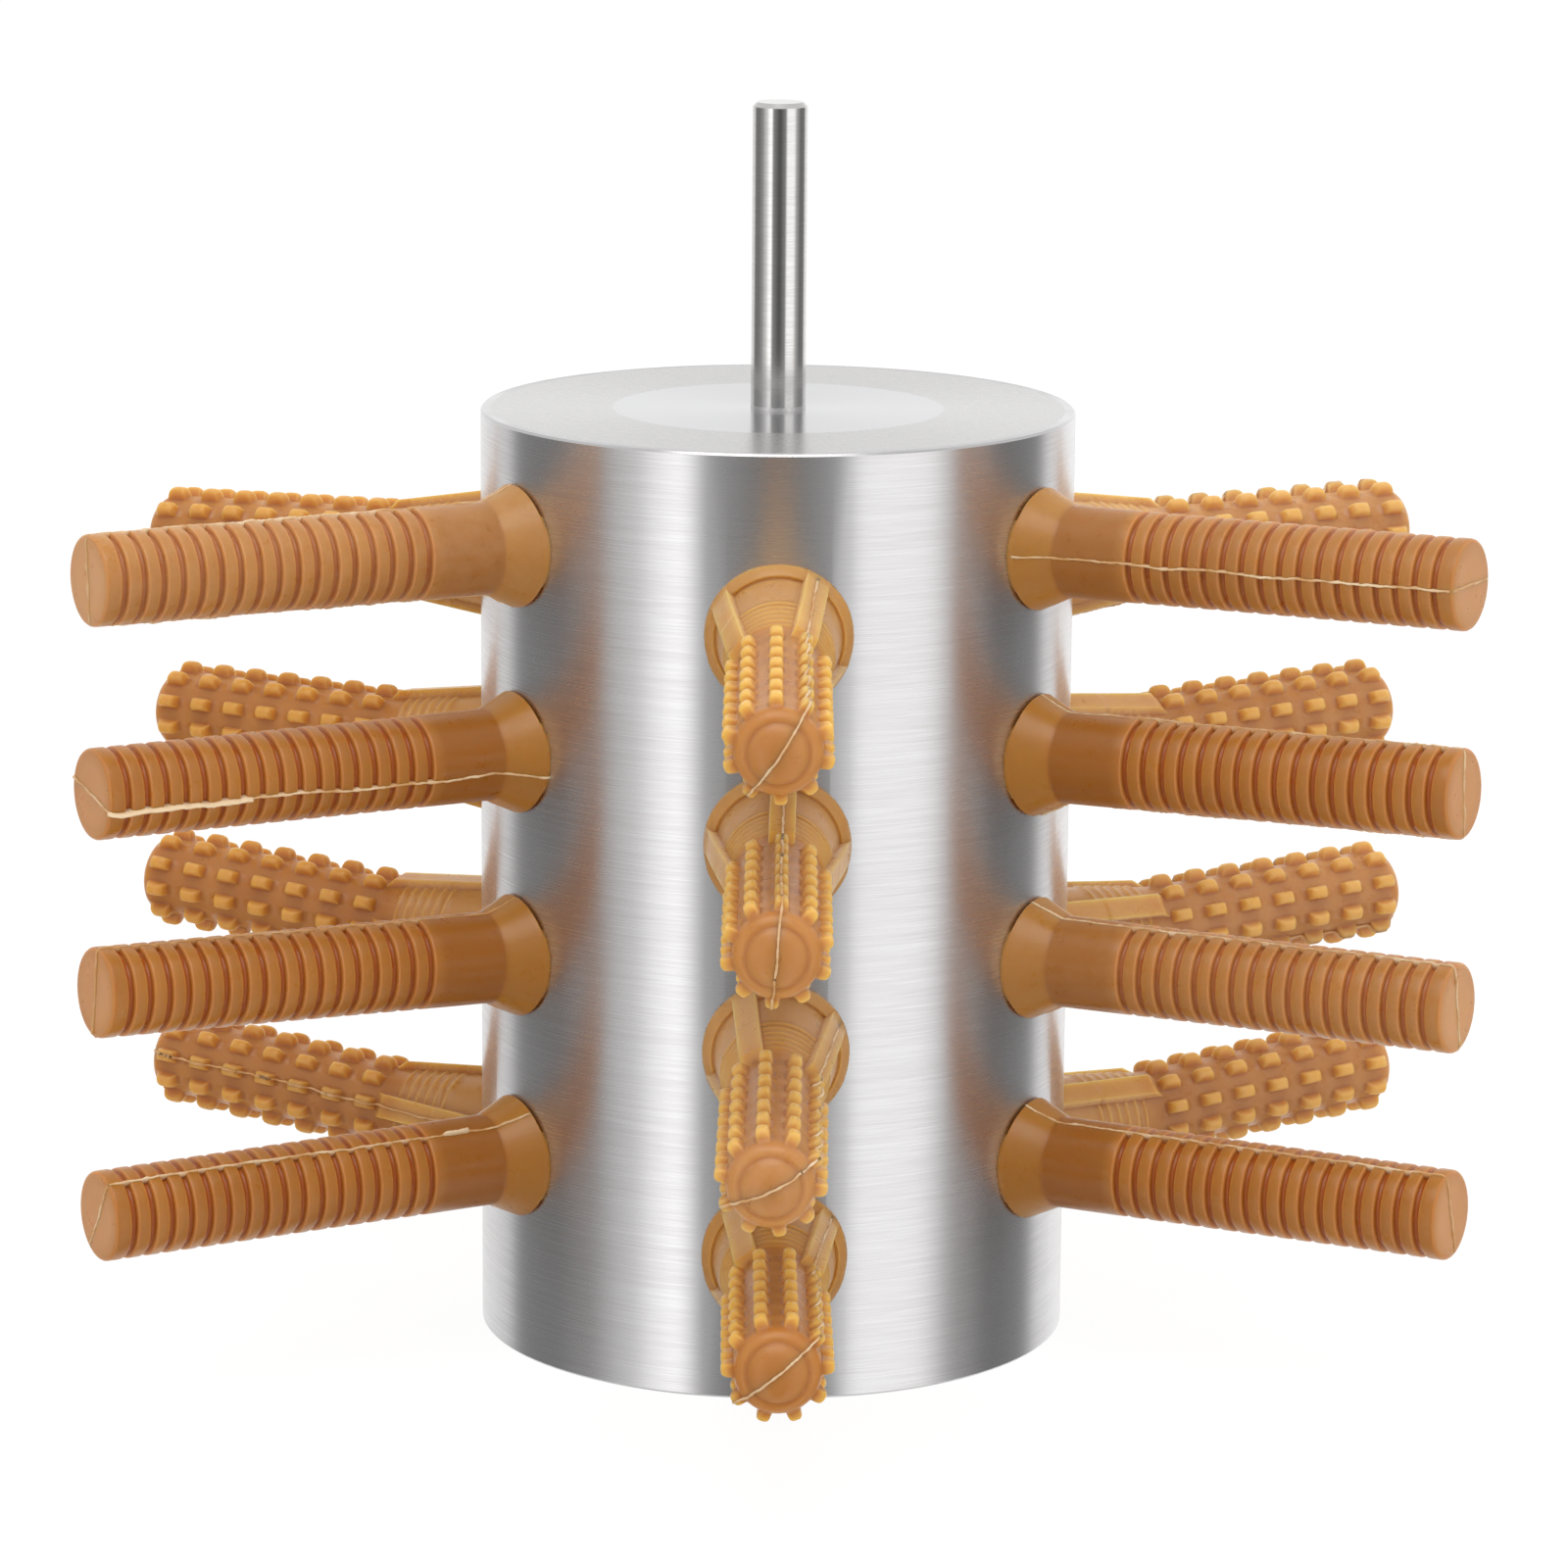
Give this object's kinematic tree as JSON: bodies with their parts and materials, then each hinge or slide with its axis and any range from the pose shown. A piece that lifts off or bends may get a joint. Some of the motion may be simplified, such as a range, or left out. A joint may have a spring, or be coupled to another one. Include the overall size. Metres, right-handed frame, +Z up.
{
  "type": "poultry plucker",
  "caption": "Drill-driven poultry plucker head: a brushed stainless drum, closed on top with a drive shank and open below, set all round with ribbed and nubbed rubber fingers.",
  "frame": {"origin": "centre of the drum's open lower rim, on the drum's axis", "axes": "+Z up the drive shaft, -Y to the front column of fingers, +X to its right seen from the front"},
  "size_m": [0.2448, 0.2747, 0.2265],
  "materials": {
    "drum_steel": "brushed stainless tube, fine lines round the drum",
    "plate_steel": "satin stainless sheet",
    "shaft_steel": "bright ground stainless bar",
    "weld_steel": "dull weld bead",
    "ribbed_rubber": "moulded natural rubber, semi-translucent caramel",
    "nubbed_rubber": "moulded natural rubber, semi-translucent caramel with golden nubs"
  },
  "bodies": {
    "drum": {"drum_tube": "drum_steel", "top_plate": "plate_steel", "drive_shaft": "shaft_steel", "shaft_foot_weld": "weld_steel", "spigot_weld": "weld_steel", "plate_rim_weld": "weld_steel"},
    "nubbed_finger_front_1": {"nubbed_finger_front_1": "nubbed_rubber"},
    "nubbed_finger_front_2": {"nubbed_finger_front_2": "nubbed_rubber"},
    "nubbed_finger_front_3": {"nubbed_finger_front_3": "nubbed_rubber"},
    "nubbed_finger_front_4": {"nubbed_finger_front_4": "nubbed_rubber"},
    "ribbed_finger_front_right_1": {"ribbed_finger_front_right_1": "ribbed_rubber"},
    "ribbed_finger_front_right_2": {"ribbed_finger_front_right_2": "ribbed_rubber"},
    "ribbed_finger_front_right_3": {"ribbed_finger_front_right_3": "ribbed_rubber"},
    "ribbed_finger_front_right_4": {"ribbed_finger_front_right_4": "ribbed_rubber"},
    "nubbed_finger_rear_right_1": {"nubbed_finger_rear_right_1": "nubbed_rubber"},
    "nubbed_finger_rear_right_2": {"nubbed_finger_rear_right_2": "nubbed_rubber"},
    "nubbed_finger_rear_right_3": {"nubbed_finger_rear_right_3": "nubbed_rubber"},
    "nubbed_finger_rear_right_4": {"nubbed_finger_rear_right_4": "nubbed_rubber"},
    "ribbed_finger_rear_1": {"ribbed_finger_rear_1": "ribbed_rubber"},
    "ribbed_finger_rear_2": {"ribbed_finger_rear_2": "ribbed_rubber"},
    "ribbed_finger_rear_3": {"ribbed_finger_rear_3": "ribbed_rubber"},
    "ribbed_finger_rear_4": {"ribbed_finger_rear_4": "ribbed_rubber"},
    "nubbed_finger_rear_left_1": {"nubbed_finger_rear_left_1": "nubbed_rubber"},
    "nubbed_finger_rear_left_2": {"nubbed_finger_rear_left_2": "nubbed_rubber"},
    "nubbed_finger_rear_left_3": {"nubbed_finger_rear_left_3": "nubbed_rubber"},
    "nubbed_finger_rear_left_4": {"nubbed_finger_rear_left_4": "nubbed_rubber"},
    "ribbed_finger_front_left_1": {"ribbed_finger_front_left_1": "ribbed_rubber"},
    "ribbed_finger_front_left_2": {"ribbed_finger_front_left_2": "ribbed_rubber"},
    "ribbed_finger_front_left_3": {"ribbed_finger_front_left_3": "ribbed_rubber"},
    "ribbed_finger_front_left_4": {"ribbed_finger_front_left_4": "ribbed_rubber"}
  },
  "joints": [
    {"name": "nubbed_finger_front_1_flex", "type": "hinge", "parent": "drum", "child": "nubbed_finger_front_1", "pos_m": [0, -0.053, 0.1388], "axis": [0, 0, 1], "range_deg": [-8, 8], "stiffness_Nm_per_rad": 0.35},
    {"name": "nubbed_finger_front_2_flex", "type": "hinge", "parent": "drum", "child": "nubbed_finger_front_2", "pos_m": [0, -0.053, 0.10133], "axis": [0, 0, 1], "range_deg": [-8, 8], "stiffness_Nm_per_rad": 0.35},
    {"name": "nubbed_finger_front_3_flex", "type": "hinge", "parent": "drum", "child": "nubbed_finger_front_3", "pos_m": [0, -0.053, 0.06387], "axis": [0, 0, 1], "range_deg": [-8, 8], "stiffness_Nm_per_rad": 0.35},
    {"name": "nubbed_finger_front_4_flex", "type": "hinge", "parent": "drum", "child": "nubbed_finger_front_4", "pos_m": [0, -0.053, 0.0264], "axis": [0, 0, 1], "range_deg": [-8, 8], "stiffness_Nm_per_rad": 0.35},
    {"name": "ribbed_finger_front_right_1_flex", "type": "hinge", "parent": "drum", "child": "ribbed_finger_front_right_1", "pos_m": [0.0459, -0.0265, 0.15], "axis": [0, 0, 1], "range_deg": [-8, 8], "stiffness_Nm_per_rad": 0.35},
    {"name": "ribbed_finger_front_right_2_flex", "type": "hinge", "parent": "drum", "child": "ribbed_finger_front_right_2", "pos_m": [0.0459, -0.0265, 0.11253], "axis": [0, 0, 1], "range_deg": [-8, 8], "stiffness_Nm_per_rad": 0.35},
    {"name": "ribbed_finger_front_right_3_flex", "type": "hinge", "parent": "drum", "child": "ribbed_finger_front_right_3", "pos_m": [0.0459, -0.0265, 0.07507], "axis": [0, 0, 1], "range_deg": [-8, 8], "stiffness_Nm_per_rad": 0.35},
    {"name": "ribbed_finger_front_right_4_flex", "type": "hinge", "parent": "drum", "child": "ribbed_finger_front_right_4", "pos_m": [0.0459, -0.0265, 0.0376], "axis": [0, 0, 1], "range_deg": [-8, 8], "stiffness_Nm_per_rad": 0.35},
    {"name": "nubbed_finger_rear_right_1_flex", "type": "hinge", "parent": "drum", "child": "nubbed_finger_rear_right_1", "pos_m": [0.0459, 0.0265, 0.1388], "axis": [0, 0, 1], "range_deg": [-8, 8], "stiffness_Nm_per_rad": 0.35},
    {"name": "nubbed_finger_rear_right_2_flex", "type": "hinge", "parent": "drum", "child": "nubbed_finger_rear_right_2", "pos_m": [0.0459, 0.0265, 0.10133], "axis": [0, 0, 1], "range_deg": [-8, 8], "stiffness_Nm_per_rad": 0.35},
    {"name": "nubbed_finger_rear_right_3_flex", "type": "hinge", "parent": "drum", "child": "nubbed_finger_rear_right_3", "pos_m": [0.0459, 0.0265, 0.06387], "axis": [0, 0, 1], "range_deg": [-8, 8], "stiffness_Nm_per_rad": 0.35},
    {"name": "nubbed_finger_rear_right_4_flex", "type": "hinge", "parent": "drum", "child": "nubbed_finger_rear_right_4", "pos_m": [0.0459, 0.0265, 0.0264], "axis": [0, 0, 1], "range_deg": [-8, 8], "stiffness_Nm_per_rad": 0.35},
    {"name": "ribbed_finger_rear_1_flex", "type": "hinge", "parent": "drum", "child": "ribbed_finger_rear_1", "pos_m": [0, 0.053, 0.15], "axis": [0, 0, 1], "range_deg": [-8, 8], "stiffness_Nm_per_rad": 0.35},
    {"name": "ribbed_finger_rear_2_flex", "type": "hinge", "parent": "drum", "child": "ribbed_finger_rear_2", "pos_m": [0, 0.053, 0.11253], "axis": [0, 0, 1], "range_deg": [-8, 8], "stiffness_Nm_per_rad": 0.35},
    {"name": "ribbed_finger_rear_3_flex", "type": "hinge", "parent": "drum", "child": "ribbed_finger_rear_3", "pos_m": [0, 0.053, 0.07507], "axis": [0, 0, 1], "range_deg": [-8, 8], "stiffness_Nm_per_rad": 0.35},
    {"name": "ribbed_finger_rear_4_flex", "type": "hinge", "parent": "drum", "child": "ribbed_finger_rear_4", "pos_m": [0, 0.053, 0.0376], "axis": [0, 0, 1], "range_deg": [-8, 8], "stiffness_Nm_per_rad": 0.35},
    {"name": "nubbed_finger_rear_left_1_flex", "type": "hinge", "parent": "drum", "child": "nubbed_finger_rear_left_1", "pos_m": [-0.0459, 0.0265, 0.1388], "axis": [0, 0, 1], "range_deg": [-8, 8], "stiffness_Nm_per_rad": 0.35},
    {"name": "nubbed_finger_rear_left_2_flex", "type": "hinge", "parent": "drum", "child": "nubbed_finger_rear_left_2", "pos_m": [-0.0459, 0.0265, 0.10133], "axis": [0, 0, 1], "range_deg": [-8, 8], "stiffness_Nm_per_rad": 0.35},
    {"name": "nubbed_finger_rear_left_3_flex", "type": "hinge", "parent": "drum", "child": "nubbed_finger_rear_left_3", "pos_m": [-0.0459, 0.0265, 0.06387], "axis": [0, 0, 1], "range_deg": [-8, 8], "stiffness_Nm_per_rad": 0.35},
    {"name": "nubbed_finger_rear_left_4_flex", "type": "hinge", "parent": "drum", "child": "nubbed_finger_rear_left_4", "pos_m": [-0.0459, 0.0265, 0.0264], "axis": [0, 0, 1], "range_deg": [-8, 8], "stiffness_Nm_per_rad": 0.35},
    {"name": "ribbed_finger_front_left_1_flex", "type": "hinge", "parent": "drum", "child": "ribbed_finger_front_left_1", "pos_m": [-0.0459, -0.0265, 0.15], "axis": [0, 0, 1], "range_deg": [-8, 8], "stiffness_Nm_per_rad": 0.35},
    {"name": "ribbed_finger_front_left_2_flex", "type": "hinge", "parent": "drum", "child": "ribbed_finger_front_left_2", "pos_m": [-0.0459, -0.0265, 0.11253], "axis": [0, 0, 1], "range_deg": [-8, 8], "stiffness_Nm_per_rad": 0.35},
    {"name": "ribbed_finger_front_left_3_flex", "type": "hinge", "parent": "drum", "child": "ribbed_finger_front_left_3", "pos_m": [-0.0459, -0.0265, 0.07507], "axis": [0, 0, 1], "range_deg": [-8, 8], "stiffness_Nm_per_rad": 0.35},
    {"name": "ribbed_finger_front_left_4_flex", "type": "hinge", "parent": "drum", "child": "ribbed_finger_front_left_4", "pos_m": [-0.0459, -0.0265, 0.0376], "axis": [0, 0, 1], "range_deg": [-8, 8], "stiffness_Nm_per_rad": 0.35}
  ]
}
